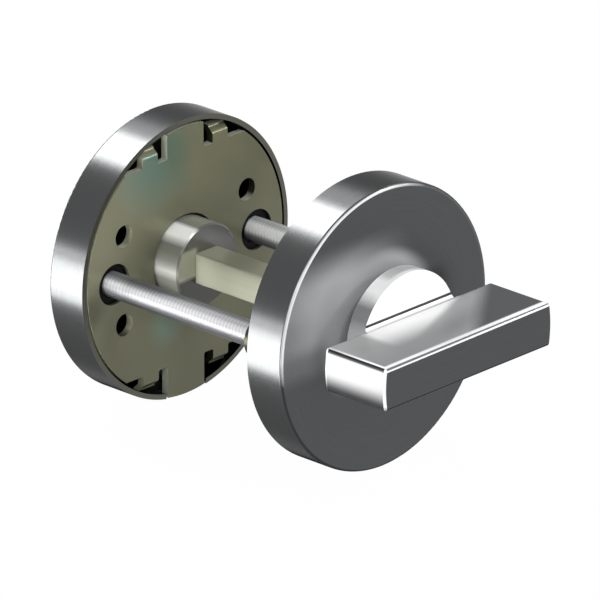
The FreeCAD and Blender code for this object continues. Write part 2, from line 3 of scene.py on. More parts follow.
import bmesh
import bpy
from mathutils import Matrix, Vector


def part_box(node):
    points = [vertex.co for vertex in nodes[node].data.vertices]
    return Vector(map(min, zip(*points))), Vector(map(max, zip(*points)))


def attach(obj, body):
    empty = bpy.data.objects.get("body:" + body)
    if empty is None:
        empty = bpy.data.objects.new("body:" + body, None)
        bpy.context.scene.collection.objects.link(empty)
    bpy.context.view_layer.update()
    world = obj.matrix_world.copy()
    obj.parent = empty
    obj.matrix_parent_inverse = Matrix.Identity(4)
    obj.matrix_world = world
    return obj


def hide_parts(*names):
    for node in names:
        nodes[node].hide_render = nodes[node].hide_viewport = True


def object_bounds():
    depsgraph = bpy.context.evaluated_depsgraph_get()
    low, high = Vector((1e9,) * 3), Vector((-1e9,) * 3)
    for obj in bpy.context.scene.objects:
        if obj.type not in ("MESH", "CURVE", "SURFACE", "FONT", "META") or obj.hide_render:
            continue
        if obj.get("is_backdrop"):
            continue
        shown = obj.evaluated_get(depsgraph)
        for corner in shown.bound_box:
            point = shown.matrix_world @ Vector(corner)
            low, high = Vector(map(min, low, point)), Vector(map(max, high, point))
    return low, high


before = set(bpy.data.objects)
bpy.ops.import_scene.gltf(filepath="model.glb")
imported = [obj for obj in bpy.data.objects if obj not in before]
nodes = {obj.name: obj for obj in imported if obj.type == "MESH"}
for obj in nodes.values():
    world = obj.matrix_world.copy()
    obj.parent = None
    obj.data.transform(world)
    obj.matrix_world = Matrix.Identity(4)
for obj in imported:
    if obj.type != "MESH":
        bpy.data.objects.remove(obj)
cad_low, cad_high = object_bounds()


# Rose covers, one on each side of the door: shallow cups deep drawn from 1 mm stainless sheet, then
# turned against abrasive cloth, which leaves fine grooves round the rim and the face. They clip over
# the tabs of the base plates, so no screw shows.
def linear(hexadecimal):
    """An sRGB hex colour as Blender's linear red, green, blue and alpha."""
    channels = [int(hexadecimal[place:place + 2], 16) / 255 for place in (1, 3, 5)]
    return [c / 12.92 if c <= 0.04045 else ((c + 0.055) / 1.055) ** 2.4 for c in channels] + [1]


def add(tree, kind, inputs, **settings):
    """A node with its settings; each input is a value, or the output of another node that feeds it."""
    made = tree.nodes.new("ShaderNode" + kind)
    for word, value in settings.items():
        setattr(made, word, value)
    for socket, value in inputs.items():
        if isinstance(value, bpy.types.NodeSocket):
            tree.links.new(value, made.inputs[socket])
        else:
            made.inputs[socket].default_value = value
    return made.outputs[0] if made.outputs else made


def combine(tree, operation, masks):
    """One mask of several: by MULTIPLY it covers what all of them do, and by MAXIMUM what any does."""
    joined = masks[0]
    for mask in masks[1:]:
        joined = add(tree, "Math", {0: joined, 1: mask}, operation=operation)
    return joined


def new_material(name):
    """An empty material, its node tree, and the place on the piece in metres."""
    material = bpy.data.materials.new(name)
    material.use_nodes = True
    tree = material.node_tree
    tree.nodes.clear()
    place = tree.nodes.new("ShaderNodeTexCoord").outputs["Object"]
    return material, tree, place


def dress_node(name, material):
    """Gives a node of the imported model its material."""
    nodes[name].data.materials.clear()
    nodes[name].data.materials.append(material)


GROOVE_SPACING = 0.00025
STREAKS_PER_RADIAN = 2.2
rose_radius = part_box("turn_rose_cover")[1].x
disc_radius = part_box("thumb_turn")[1].z
door_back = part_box("release_rose_cover")[0].y
door_middle = door_back / 2

# Satin stainless, cloth brushed: a dark mirror broken by grooves, so lamps show as soft edged bands.
# The real grooves lie about 0.06 mm apart, too fine to show, and are drawn 0.25 mm apart. The pale matt
# patches on the left of the turn's face are painted light, and the upper left edge carries a painted
# highlight.
satin, tree, place = new_material("satin_stainless_brushed_round")
axes = add(tree, "SeparateXYZ", {0: place}).node.outputs
facing = add(tree, "SeparateXYZ", {0: place.node.outputs["Normal"]}).node.outputs
flat_place = add(tree, "CombineXYZ", {"X": axes["X"], "Z": axes["Z"]})
from_axis = add(tree, "VectorMath", {0: flat_place}, operation="LENGTH").node.outputs["Value"]
across = add(tree, "Math", {0: from_axis, 1: axes["Y"]}, operation="ADD")
around = add(tree, "Math", {0: axes["X"], 1: axes["Z"]}, operation="ARCTAN2")
groove_place = add(tree, "CombineXYZ", {
    "X": add(tree, "Math", {0: across, 1: 1 / GROOVE_SPACING}, operation="MULTIPLY"),
    "Y": add(tree, "Math", {0: around, 1: STREAKS_PER_RADIAN}, operation="MULTIPLY")})
grooves = add(tree, "TexNoise", {"Vector": groove_place, "Scale": 1, "Detail": 3, "Roughness": 0.6})

# The flat face, the round edge between it and the rim, which thins toward the top, and the cut edge
# that meets the door.
squareness = add(tree, "Math", {0: facing["Y"]}, operation="ABSOLUTE")
on_face = add(tree, "MapRange", {"Value": squareness, "From Min": 0.98, "From Max": 0.999})
narrower = add(tree, "MapRange", {"Value": axes["Z"], "From Min": 0.014, "From Max": 0.024, "To Max": 0.28})
off_rim = add(tree, "Math", {0: squareness, 1: narrower}, operation="SUBTRACT")
off_rim = add(tree, "MapRange", {"Value": off_rim, "From Min": 0.32, "From Max": 0.58})
on_round = add(tree, "Math", {0: off_rim, 1: on_face}, operation="SUBTRACT")
from_middle = add(tree, "Math", {0: axes["Y"], 1: door_middle}, operation="SUBTRACT")
from_middle = add(tree, "Math", {0: from_middle}, operation="ABSOLUTE")
door_side = add(tree, "MapRange", {"Value": from_middle, "From Min": door_middle + 0.0012,
                                   "From Max": door_middle + 0.0002})
cut_edge = combine(tree, "MULTIPLY", (on_face, door_side))

# Painted highlight on the round edge, full on the upper left and dark elsewhere. It is paler there and matt,
# where a mirror so narrow would show its lamps as steps, and a thin line of painted highlight lies where the
# edge runs into the face.
upper = add(tree, "MapRange", {"Value": axes["Z"], "From Min": -0.004, "From Max": 0.001})
highlight_left = add(tree, "MapRange", {"Value": axes["X"], "From Min": 0.011, "From Max": 0.001,
                                     "To Min": 0.06})
round_highlight = combine(tree, "MULTIPLY", (upper, highlight_left))
round_highlight_tone = add(tree, "MixRGB", {0: round_highlight, 1: linear("#3a3b3d"), 2: linear("#b6b7b8")})
matt_left = add(tree, "MapRange", {"Value": axes["X"], "From Min": 0.020, "From Max": 0.012, "To Min": 0.06})
bent = add(tree, "MapRange", {"Value": squareness, "From Min": 0.05, "From Max": 0.25})
bent = add(tree, "Math", {0: bent, 1: on_face}, operation="SUBTRACT")
matt_round = combine(tree, "MULTIPLY", (matt_left, upper, bent))
line_inside = add(tree, "MapRange", {"Value": from_axis, "From Min": rose_radius - 0.00075,
                                     "From Max": rose_radius - 0.0006})
line_outside = add(tree, "MapRange", {"Value": from_axis, "From Min": rose_radius - 0.0002,
                                      "From Max": rose_radius - 0.00035})
highlight_line = combine(tree, "MULTIPLY", (line_inside, line_outside, round_highlight, off_rim))
highlight_line = add(tree, "Math", {0: highlight_line, 1: door_side}, operation="SUBTRACT", use_clamp=True)

# Painted light on the turn's face: a level band across its left, a painted reflection of the lit disc, and a
# ring round the disc that lightens its shade.
turn_side = add(tree, "MapRange", {"Value": axes["Y"], "From Min": -0.004, "From Max": -0.006})
band_foot = add(tree, "MapRange", {"Value": axes["Z"], "From Min": -0.006, "From Max": 0.004},
                interpolation_type="SMOOTHSTEP")
band_top = add(tree, "MapRange", {"Value": axes["Z"], "From Min": 0.0205, "From Max": 0.0125},
               interpolation_type="SMOOTHSTEP")
band_left = add(tree, "MapRange", {"Value": axes["X"], "From Min": 0.008, "From Max": -0.010},
                interpolation_type="SMOOTHSTEP")
band_inward = add(tree, "MapRange", {"Value": from_axis, "From Min": rose_radius + 0.0005,
                                     "From Max": rose_radius - 0.0075, "To Min": 0.6})
disc_reflection_band = combine(tree, "MULTIPLY", (band_foot, band_top, band_left, on_face, turn_side, band_inward))
near_disc = add(tree, "Math", {0: axes["X"], 1: 0.07, 2: from_axis}, operation="MULTIPLY_ADD")
near_disc = add(tree, "MapRange", {"Value": near_disc, "From Min": disc_radius + 0.0038,
                                   "From Max": disc_radius + 0.0008}, interpolation_type="SMOOTHSTEP")
ring_foot = add(tree, "MapRange", {"Value": axes["Z"], "From Min": -0.011, "From Max": -0.003})
ring_left = add(tree, "MapRange", {"Value": axes["X"], "From Min": 0.016, "From Max": 0.005, "To Min": 0.1})
painted_light_ring = combine(tree, "MULTIPLY", (near_disc, ring_foot, ring_left, turn_side, on_face))

# Painted shade: the rim is darker where it faces down to the left.
downward = add(tree, "MapRange", {"Value": facing["Z"], "From Min": -0.62, "From Max": -0.80})
leftward = add(tree, "MapRange", {"Value": facing["X"], "From Min": -0.30, "From Max": -0.45})
rim_painted_shade = combine(tree, "MULTIPLY", (downward, leftward))

tone = add(tree, "MixRGB", {0: grooves, 1: linear("#444546"), 2: linear("#4f5050")})
face_tone = add(tree, "MixRGB", {0: grooves, 1: linear("#4f5052"), 2: linear("#5a5b5d")})
for mask, colour in ((on_face, face_tone), (cut_edge, linear("#5f5f58")), (on_round, round_highlight_tone),
                     (disc_reflection_band, linear("#a0a1a2")), (painted_light_ring, linear("#a4a5a6")),
                     (highlight_line, linear("#e6e6e7")), (rim_painted_shade, linear("#2e2f31"))):
    tone = add(tree, "MixRGB", {0: mask, 1: tone, 2: colour})
matt = combine(tree, "MAXIMUM", (disc_reflection_band, painted_light_ring, highlight_line, matt_round))
metal = add(tree, "MapRange", {"Value": matt, "To Min": 1, "To Max": 0.2})
metal = add(tree, "Math", {0: metal, 1: rim_painted_shade}, operation="SUBTRACT")
gloss = add(tree, "MapRange", {"Value": on_face, "To Min": 0.23, "To Max": 0.36})
relief = add(tree, "Bump", {"Height": grooves, "Strength": 0.03, "Distance": 0.0001})
shader = add(tree, "BsdfPrincipled", {"Base Color": tone, "Metallic": metal, "Roughness": gloss,
                                      "Specular IOR Level": 0, "Specular Tint": (0.5, 0.5, 0.5, 1),
                                      "Normal": relief})
add(tree, "OutputMaterial", {"Surface": shader})
dress_node("turn_rose_cover", satin)
dress_node("release_rose_cover", satin)


# Base plates and their two threaded posts: stamped and turned from mild steel, zinc plated and yellow
# passivated. The passivation is a thin film: olive, with a pool of blue green at the top, and painted light
# makes the plate paler to the upper left. The posts are pressed into the turn's plate and are drawn nearly
# black.
TONGUE_HALF_WIDTH = 0.00485
PATCH_SIZE = 1 / 110
MOTTLE_SIZE = 1 / 900
passivated, tree, place = new_material("yellow_passivated_zinc")
axes = add(tree, "SeparateXYZ", {0: place}).node.outputs
facing = add(tree, "SeparateXYZ", {0: place.node.outputs["Normal"]}).node.outputs
patch = add(tree, "TexNoise", {"Vector": place, "Scale": 1 / PATCH_SIZE, "Detail": 1.5, "Distortion": 0.4})
mottle = add(tree, "TexNoise", {"Vector": place, "Scale": 1 / MOTTLE_SIZE, "Detail": 3})

# The film on the flat sheet, with its pools as centre, reach, share and colour; the last pool, dark, is a
# painted shade left of the left bolt's bush. The sheet's paler upper left is painted light, painted shade
# darkens it toward the top except at the left, and it is slightly browned in patches of about 9 mm.
slant = add(tree, "Math", {0: axes["X"], 1: -0.4, 2: axes["Z"]}, operation="MULTIPLY_ADD")
painted_light_slope = add(tree, "MapRange", {"Value": slant, "From Min": 0.001, "From Max": 0.021},
            interpolation_type="SMOOTHSTEP")
tone = add(tree, "MixRGB", {0: painted_light_slope, 1: linear("#676856"), 2: linear("#82826d")})
off_tongue = add(tree, "MapRange", {"Value": axes["Y"], "From Min": door_back + 0.0005,
                                    "From Max": door_back + 0.0001})
for centre, reach, share, colour in (((-0.008, door_back, 0.022), 0.014, 0.9, "#6a8379"),
                                     ((-0.005, door_back, -0.012), 0.006, 0.5, "#6a8379"),
                                     ((-0.025, door_back, -0.004), 0.005, 0.6, "#46473a")):
    away = add(tree, "VectorMath", {0: place, 1: centre}, operation="DISTANCE").node.outputs["Value"]
    pool_and_shade = add(tree, "MapRange", {"Value": away, "From Min": reach, "From Max": 0.001, "To Max": share},
                 interpolation_type="SMOOTHSTEP")
    pool_and_shade = combine(tree, "MULTIPLY", (pool_and_shade, off_tongue))
    tone = add(tree, "MixRGB", {0: pool_and_shade, 1: tone, 2: linear(colour)})
toward_top = add(tree, "MapRange", {"Value": axes["Z"], "From Min": 0.003, "From Max": 0.022, "To Max": 1.15})
rightward = add(tree, "MapRange", {"Value": axes["X"], "From Min": -0.015, "From Max": -0.003})
shaded_top = combine(tree, "MULTIPLY", (toward_top, rightward))
shaded_top_tone = add(tree, "VectorMath", {0: tone, 1: (0.60, 0.62, 0.55)}, operation="MULTIPLY")
browned = add(tree, "MapRange", {"Value": patch, "From Min": 0.5, "From Max": 0.75, "To Max": 0.25})

# The cut walls of slots and holes: dark, a painted shade, but pale with painted light where they face up or
# run along a tongue's left side, and olive with painted light where they face left near the plate's left. Of
# these pieces only the posts reach into the door.
level = add(tree, "Math", {0: facing["Y"]}, operation="ABSOLUTE")
on_wall = add(tree, "MapRange", {"Value": level, "From Min": 0.55, "From Max": 0.35})
upward = add(tree, "MapRange", {"Value": facing["Z"], "From Min": 0.55, "From Max": 0.95})
upper = add(tree, "MapRange", {"Value": axes["Z"], "From Min": -0.004, "From Max": -0.002, "To Min": 0.2})
beside_tongue = add(tree, "Math", {0: axes["X"], 1: -TONGUE_HALF_WIDTH, 2: 0.0007}, operation="COMPARE")
lit_wall = combine(tree, "MULTIPLY", (upward, upper))
lit_wall = combine(tree, "MAXIMUM", (lit_wall, beside_tongue))
leftward = add(tree, "MapRange", {"Value": facing["X"], "From Min": -0.3, "From Max": -0.8})
near_left = add(tree, "MapRange", {"Value": axes["X"], "From Min": -0.009, "From Max": -0.011})
lit_left_wall = combine(tree, "MULTIPLY", (leftward, near_left))
wall_light_and_shade = add(tree, "MixRGB", {0: lit_wall, 1: linear("#2e2e24"), 2: linear("#b6bba8")})
wall_light_and_shade = add(tree, "MixRGB", {0: lit_left_wall, 1: wall_light_and_shade, 2: linear("#9c9d84")})
on_post = add(tree, "Math", {0: axes["Y"], 1: door_middle / 2, 2: door_middle / 2 - 0.0006},
              operation="COMPARE")
for mask, colour in ((shaded_top, shaded_top_tone), (browned, linear("#7d705c")), (on_wall, wall_light_and_shade),
                     (on_post, linear("#33332a"))):
    tone = add(tree, "MixRGB", {0: mask, 1: tone, 2: colour})
metal = add(tree, "MapRange", {"Value": on_wall, "To Min": 0.4, "To Max": 0.3})
metal = combine(tree, "MAXIMUM", (metal, on_post))
gloss = add(tree, "MapRange", {"Value": mottle, "From Min": 0.3, "From Max": 0.7,
                               "To Min": 0.28, "To Max": 0.40})
relief = add(tree, "Bump", {"Height": mottle, "Strength": 0.05, "Distance": 0.0001})
shader = add(tree, "BsdfPrincipled", {"Base Color": tone, "Metallic": metal, "Roughness": gloss,
                                      "Specular IOR Level": 0.2, "Specular Tint": (0.6, 0.6, 0.6, 1),
                                      "Normal": relief})
add(tree, "OutputMaterial", {"Surface": shader})
for name in ("turn_base_plate", "release_base_plate", "turn_post_left", "turn_post_right"):
    dress_node(name, passivated)


# Through bolts: M5 machine screws with cheese heads and cross recesses, cold headed and thread rolled from
# steel wire and zinc plated bright. They pass the release's plate and screw into the posts. Painted light
# makes them pale along the flank that faces up and to the left, and painted shade makes them darker
# elsewhere.
THREAD_PITCH = 0.0008
THREAD_CREST = 0.00245
THREAD_ROOT = 0.00241
TIP_RADIUS = 0.0018
TIP_LEAD = 0.0006
SHANK_SIDES = 40
ROWS_PER_PITCH = 8
HEAD_HEIGHT = 0.0033
HEAD_BEVEL = 0.0007
HEAD_SIDES = 64
BEVEL_STEPS = 5
SEAT_BEVEL = 0.0001
CROSS_HALF_WIDTH = 0.0006
CROSS_REACH = 0.0024
CROSS_DEPTH = 0.0018
CROSS_TAPER = 0.7
PLATING_GRAIN = 1 / 1500
bolt_low, bolt_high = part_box("bolt_right")
bolt_place = (bolt_low.x + bolt_high.x) / 2
bolt_tip = bolt_low.y
bolt_seat = bolt_high.y - HEAD_HEIGHT
head_radius = bolt_high.z


def direction_round(tree, x, z):
    """The direction round an axis along Y: 0 is the foot, then the right, top and left, and 1 the foot."""
    angle = add(tree, "Math", {0: x, 1: z}, operation="ARCTAN2")
    return add(tree, "MapRange", {"Value": angle, "From Min": math.pi, "From Max": -math.pi})


def tones_round(tree, direction, foot, tones):
    """Tones by direction, in degrees: 0 is the right, 90 the top and 180 the left."""
    ring = add(tree, "ValToRGB", {0: direction})
    stops = ring.node.color_ramp.elements
    stops[0].color = stops[1].color = linear(foot)
    for degrees, colour in tones:
        stops.new((degrees + 90) / 360).color = linear(colour)
    return ring


bright_zinc, tree, place = new_material("bright_zinc_plated_steel")
axes = add(tree, "SeparateXYZ", {0: place}).node.outputs
facing = add(tree, "SeparateXYZ", {0: place.node.outputs["Normal"]}).node.outputs
grain = add(tree, "TexNoise", {"Vector": place, "Scale": 1 / PLATING_GRAIN, "Detail": 3})
around = direction_round(tree, facing["X"], facing["Z"])
flank_light_and_shade = tones_round(tree, around, "#38393a", (
    (60, "#505153"), (90, "#5e5f61"), (105, "#595a5c"), (120, "#717274"), (130, "#858688"),
    (140, "#a2a2a4"), (150, "#a6a6a8"), (160, "#939395"), (170, "#909092"), (180, "#727274"),
    (190, "#535456"), (200, "#48494b"), (215, "#2c2d2f")))

# Painted light: the right bolt is paler than the left one, less so underneath, and the left one brightens
# toward its bush. The thread's ridges are too shallow to show well, so faint stripes of painted light and
# shade follow them.
right_one = add(tree, "MapRange", {"Value": axes["X"], "From Min": -0.001, "From Max": 0.001})
right_bolt_light = add(tree, "MapRange", {"Value": right_one, "To Min": 1, "To Max": 3.3})
under = add(tree, "MapRange", {"Value": facing["Z"], "From Min": 0.55, "From Max": -0.1, "To Max": 0.5})
under = combine(tree, "MULTIPLY", (under, right_one))
not_under = add(tree, "Math", {0: 1, 1: under}, operation="SUBTRACT")
bush_light = add(tree, "MapRange", {"Value": axes["Y"], "From Min": door_back - 0.0052,
                                   "From Max": door_back - 0.001, "To Min": 1, "To Max": 1.7})
bush_light = add(tree, "MapRange", {"Value": right_one, "To Min": bush_light, "To Max": 1.25})
turns = add(tree, "Math", {0: axes["Y"], 1: 1 / THREAD_PITCH, 2: around}, operation="MULTIPLY_ADD")
turns = add(tree, "Math", {0: turns, 1: 2 * math.pi}, operation="MULTIPLY")
stripes = add(tree, "Math", {0: turns}, operation="SINE")
stripes = add(tree, "Math", {0: stripes, 1: 0.11, 2: 1}, operation="MULTIPLY_ADD")
brightness = combine(tree, "MULTIPLY", (right_bolt_light, not_under, bush_light, stripes))
tone = add(tree, "VectorMath", {0: flank_light_and_shade, "Scale": brightness}, operation="SCALE")
tone = add(tree, "VectorMath", {0: tone, 1: (0.95, 0.95, 0.95)}, operation="MINIMUM")
gloss = add(tree, "MapRange", {"Value": grain, "From Min": 0.3, "From Max": 0.7,
                               "To Min": 0.36, "To Max": 0.44})
shader = add(tree, "BsdfPrincipled", {"Base Color": tone, "Metallic": 0.25, "Roughness": gloss,
                                      "Specular IOR Level": 0.2})
add(tree, "OutputMaterial", {"Surface": shader})


def skin(mesh, rings):
    """Joins rings of points, each with the next, by a band of faces."""
    for near, far in zip(rings, rings[1:]):
        for place in range(len(near)):
            after = (place + 1) % len(near)
            mesh.faces.new((near[place], far[place], far[after], near[after]))


def threaded_shank(mesh, centre_x):
    """The bolt from its tip to its head, with the thread as a helical ridge."""
    step = THREAD_PITCH / ROWS_PER_PITCH
    rings = []
    for row in range(round((bolt_seat - bolt_tip) / step) + 1):
        y = bolt_tip + row * step
        lead = min(1, (y - bolt_tip) / TIP_LEAD)
        ring = []
        for place in range(SHANK_SIDES):
            angle = 2 * math.pi * place / SHANK_SIDES
            phase = (y / THREAD_PITCH + place / SHANK_SIDES) % 1
            # The crest is 0.3 of a pitch wide, and the root 0.2.
            ridge = min(1, max(0, 1.6 - abs(phase - 0.5) * 4))
            radius = min(THREAD_ROOT + (THREAD_CREST - THREAD_ROOT) * ridge,
                         TIP_RADIUS + (THREAD_CREST - TIP_RADIUS) * lead)
            ring.append(mesh.verts.new((centre_x + radius * math.cos(angle), y, radius * math.sin(angle))))
        rings.append(ring)
    skin(mesh, rings)
    mesh.faces.new(rings[0])


def cheese_head(mesh, centre_x):
    """The cylindrical head with its rounded edge, and the sunk cross for the driver."""
    profile = [(THREAD_ROOT, 0), (head_radius - SEAT_BEVEL, 0), (head_radius, SEAT_BEVEL),
               (head_radius, HEAD_HEIGHT - HEAD_BEVEL)]
    for step in range(1, BEVEL_STEPS + 1):
        turn = step / BEVEL_STEPS * math.pi / 2
        profile.append((head_radius - HEAD_BEVEL * (1 - math.cos(turn)),
                        HEAD_HEIGHT - HEAD_BEVEL * (1 - math.sin(turn))))
    angles = [2 * math.pi * place / HEAD_SIDES for place in range(HEAD_SIDES)]
    skin(mesh, [[mesh.verts.new((centre_x + radius * math.cos(angle), bolt_seat + height,
                                 radius * math.sin(angle))) for angle in angles]
                for radius, height in profile])

    corners = []
    for quarter in range(4):
        turn = quarter * math.pi / 2
        for along, side in ((CROSS_HALF_WIDTH, -CROSS_HALF_WIDTH), (CROSS_REACH, -CROSS_HALF_WIDTH),
                            (CROSS_REACH, CROSS_HALF_WIDTH)):
            corners.append((along * math.cos(turn) - side * math.sin(turn),
                            along * math.sin(turn) + side * math.cos(turn)))
    top = bolt_seat + HEAD_HEIGHT
    mouth = [mesh.verts.new((centre_x + x, top, z)) for x, z in corners]
    bottom = [mesh.verts.new((centre_x + x * CROSS_TAPER, top - CROSS_DEPTH, z * CROSS_TAPER))
              for x, z in corners]
    skin(mesh, [mouth, bottom])
    mesh.faces.new(bottom)
    open_edges = [edge for edge in mesh.edges if edge.is_boundary
                  and all(abs(vert.co.y - top) < 1e-7 for vert in edge.verts)]
    bmesh.ops.triangle_fill(mesh, edges=open_edges, use_beauty=True)


for side, centre_x in (("left", -bolt_place), ("right", bolt_place)):
    mesh = bmesh.new()
    threaded_shank(mesh, centre_x)
    cheese_head(mesh, centre_x)
    bmesh.ops.recalc_face_normals(mesh, faces=mesh.faces)
    data = bpy.data.meshes.new(f"threaded_bolt_{side}")
    mesh.to_mesh(data)
    mesh.free()
    data.shade_smooth()
    data.set_sharp_from_angle(angle=math.radians(38))
    data.materials.append(bright_zinc)
    bolt = bpy.data.objects.new(f"threaded_bolt_{side}", data)
    bpy.context.scene.collection.objects.link(bolt)
    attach(bolt, "roses")
    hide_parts(f"bolt_{side}")


# Bearing bushes and the flanged bushes round the bolts: injection moulded from black nylon, which
# comes out of a spark eroded mould slightly matt. They are pressed into the plates. The mould's grain
# is about 0.03 mm, too fine to show, and is drawn 0.4 mm coarse.
MOULD_GRAIN = 0.0004
nylon, tree, place = new_material("black_nylon_moulded")
grain = add(tree, "TexNoise", {"Vector": place, "Scale": 1 / MOULD_GRAIN, "Detail": 2})
tone = add(tree, "MixRGB", {0: grain, 1: linear("#020202"), 2: linear("#060606")})
gloss = add(tree, "MapRange", {"Value": grain, "From Min": 0.3, "From Max": 0.7,
                               "To Min": 0.36, "To Max": 0.48})
relief = add(tree, "Bump", {"Height": grain, "Strength": 0.12, "Distance": 0.0001})
shader = add(tree, "BsdfPrincipled", {"Base Color": tone, "Roughness": gloss, "IOR": 1.53,
                                      "Specular IOR Level": 0.06, "Normal": relief})
add(tree, "OutputMaterial", {"Surface": shader})
for name in ("turn_bush", "release_bush", "bolt_bush_left", "bolt_bush_right"):
    dress_node(name, nylon)


# Spindle: 6 mm square steel bar, cold drawn, cut to length and zinc plated. Its passivation has a cream cast;
# the flats above and below are darker, a painted shade, and the bar is drawn paler toward the release. The
# die leaves lines too fine to show, so they are drawn a third of a millimetre apart.
DIE_LINES_PER_METRE = (3000, 60, 3000)
pale_zinc, tree, place = new_material("pale_passivated_zinc_drawn")
axes = add(tree, "SeparateXYZ", {0: place}).node.outputs
facing = add(tree, "SeparateXYZ", {0: place.node.outputs["Normal"]}).node.outputs
line_place = add(tree, "Mapping", {"Vector": place, "Scale": DIE_LINES_PER_METRE})
die_lines = add(tree, "TexNoise", {"Vector": line_place, "Scale": 1, "Detail": 2})
toward_release = add(tree, "MapRange", {"Value": axes["Y"], "From Min": 0.028, "From Max": 0.036},
                     interpolation_type="SMOOTHSTEP")
level = add(tree, "Math", {0: facing["Z"]}, operation="ABSOLUTE")
shaded_flats = add(tree, "MapRange", {"Value": level, "From Min": 0.6, "From Max": 0.9})
shaded_flat_tone = add(tree, "MixRGB", {0: toward_release, 1: linear("#777867"), 2: linear("#83846f")})
tone = add(tree, "MixRGB", {0: die_lines, 1: linear("#8a8b7a"), 2: linear("#949584")})
tone = add(tree, "MixRGB", {0: toward_release, 1: tone, 2: linear("#a9aa98")})
tone = add(tree, "MixRGB", {0: shaded_flats, 1: tone, 2: shaded_flat_tone})
relief = add(tree, "Bump", {"Height": die_lines, "Strength": 0.05, "Distance": 0.0001})
shader = add(tree, "BsdfPrincipled", {"Base Color": tone, "Metallic": 0.15, "Roughness": 0.45,
                                      "Specular IOR Level": 0.2, "Normal": relief})
add(tree, "OutputMaterial", {"Surface": shader})
dress_node("spindle", pale_zinc)


# Thumb turn: disc, neck and bar machined from one stainless casting. The disc is turned and the bar ground
# along its length, with lines drawn 0.25 mm apart to show. The bar's front is a dark mirror, its top and left
# end are pale and matt with painted light and shade, and its edges carry painted highlights.
BAR_DEPTH = 0.015
BAR_HALF_HEIGHT = 0.0042
GRINDING_LINES_PER_METRE = (120, 4000, 4000)
EDGE_START = -0.0183
turn_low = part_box("thumb_turn")[0]
bar_end = turn_low.x
bar_front = turn_low.y
disc_front = bar_front + BAR_DEPTH
satin_bar, tree, place = new_material("satin_stainless_ground_along")
axes = add(tree, "SeparateXYZ", {0: place}).node.outputs
facing = add(tree, "SeparateXYZ", {0: place.node.outputs["Normal"]}).node.outputs
line_place = add(tree, "Mapping", {"Vector": place, "Scale": GRINDING_LINES_PER_METRE})
ground = add(tree, "TexNoise", {"Vector": line_place, "Scale": 1, "Detail": 3, "Roughness": 0.6})
forward = add(tree, "MapRange", {"Value": facing["Y"], "From Min": -0.15, "From Max": -0.3})
leftward = add(tree, "MapRange", {"Value": facing["X"], "From Min": -0.15, "From Max": -0.3})
downward = add(tree, "MapRange", {"Value": facing["Z"], "From Min": -0.1, "From Max": -0.3})
on_top = add(tree, "MapRange", {"Value": facing["Z"], "From Min": 0.9, "From Max": 0.99})
beyond_disc = add(tree, "MapRange", {"Value": axes["X"], "From Min": -disc_radius - 0.0011,
                                     "From Max": -disc_radius + 0.0007})

# The bar's top is matt left of the slanting line X = 0.0379 + 1.22 Y, with painted light paler toward the
# disc and painted shade darker at its left front. Its root at the disc carries a painted reflection, bright
# left of X = 0.0476 + 2.33 Y, with a grey line in it.
slant = add(tree, "Math", {0: axes["Y"], 1: -1.22, 2: -0.0379}, operation="MULTIPLY_ADD")
slant = add(tree, "Math", {0: slant, 1: axes["X"]}, operation="ADD")
matt_top = add(tree, "MapRange", {"Value": slant, "From Min": 0.003, "From Max": -0.003},
               interpolation_type="SMOOTHSTEP")
matt_top = combine(tree, "MULTIPLY", (matt_top, on_top))
toward_disc = add(tree, "MapRange", {"Value": axes["Y"], "From Min": disc_front - 0.0101,
                                     "From Max": disc_front - 0.0015}, interpolation_type="SMOOTHSTEP")
near_end = add(tree, "MapRange", {"Value": axes["X"], "From Min": -0.004, "From Max": -0.013})
near_front = add(tree, "MapRange", {"Value": axes["Y"], "From Min": bar_front + 0.007,
                                    "From Max": bar_front + 0.0025})
left_front = combine(tree, "MULTIPLY", (near_end, near_front))
top_light_and_shade = add(tree, "MixRGB", {0: toward_disc, 1: linear("#8e9091"), 2: linear("#b0b2b2")})
top_light_and_shade = add(tree, "MixRGB", {0: left_front, 1: top_light_and_shade, 2: linear("#7c7e7f")})
slant = add(tree, "Math", {0: axes["Y"], 1: -2.33, 2: -0.0476}, operation="MULTIPLY_ADD")
slant = add(tree, "Math", {0: slant, 1: axes["X"]}, operation="ADD")
root_reflection = add(tree, "MapRange", {"Value": slant, "From Min": 0.0025, "From Max": -0.0025},
                  interpolation_type="SMOOTHSTEP")
root_reflection = combine(tree, "MULTIPLY", (root_reflection, toward_disc, beyond_disc, on_top))
root_line = add(tree, "Math", {0: axes["Y"], 1: disc_front - 0.00062, 2: 0.00014}, operation="COMPARE")
root_line = combine(tree, "MULTIPLY", (root_line, beyond_disc, matt_top))

# The upper front edge carries a painted highlight, widest at the left. Beside it lie two thin lines of
# painted highlight, the crest on the front and the lip on the top, which drift a little along the bar. The
# lower front edge is dark with painted shade.
along = add(tree, "Math", {0: axes["X"], 1: EDGE_START}, operation="SUBTRACT")
higher = add(tree, "Math", {0: along, 1: -11.3, 2: facing["Z"]}, operation="MULTIPLY_ADD")
upward = add(tree, "MapRange", {"Value": higher, "From Min": 0.15, "From Max": 0.35})
top_edge = combine(tree, "MULTIPLY", (forward, upward))
higher = add(tree, "Math", {0: along, 1: -4.1, 2: facing["Z"]}, operation="MULTIPLY_ADD")
upward = add(tree, "MapRange", {"Value": higher, "From Min": 0.78, "From Max": 0.92})
top_edge_highlight = add(tree, "MixRGB", {0: upward, 1: linear("#606163"), 2: linear("#f0f0f1")})
crest = add(tree, "Math", {0: along, 1: -0.0072, 2: axes["Z"]}, operation="MULTIPLY_ADD")
crest = add(tree, "Math", {0: crest, 1: BAR_HALF_HEIGHT - 0.00062, 2: 0.00017}, operation="COMPARE")
on_front = add(tree, "MapRange", {"Value": facing["Y"], "From Min": -0.6, "From Max": -0.7})
crest = combine(tree, "MULTIPLY", (crest, on_front))
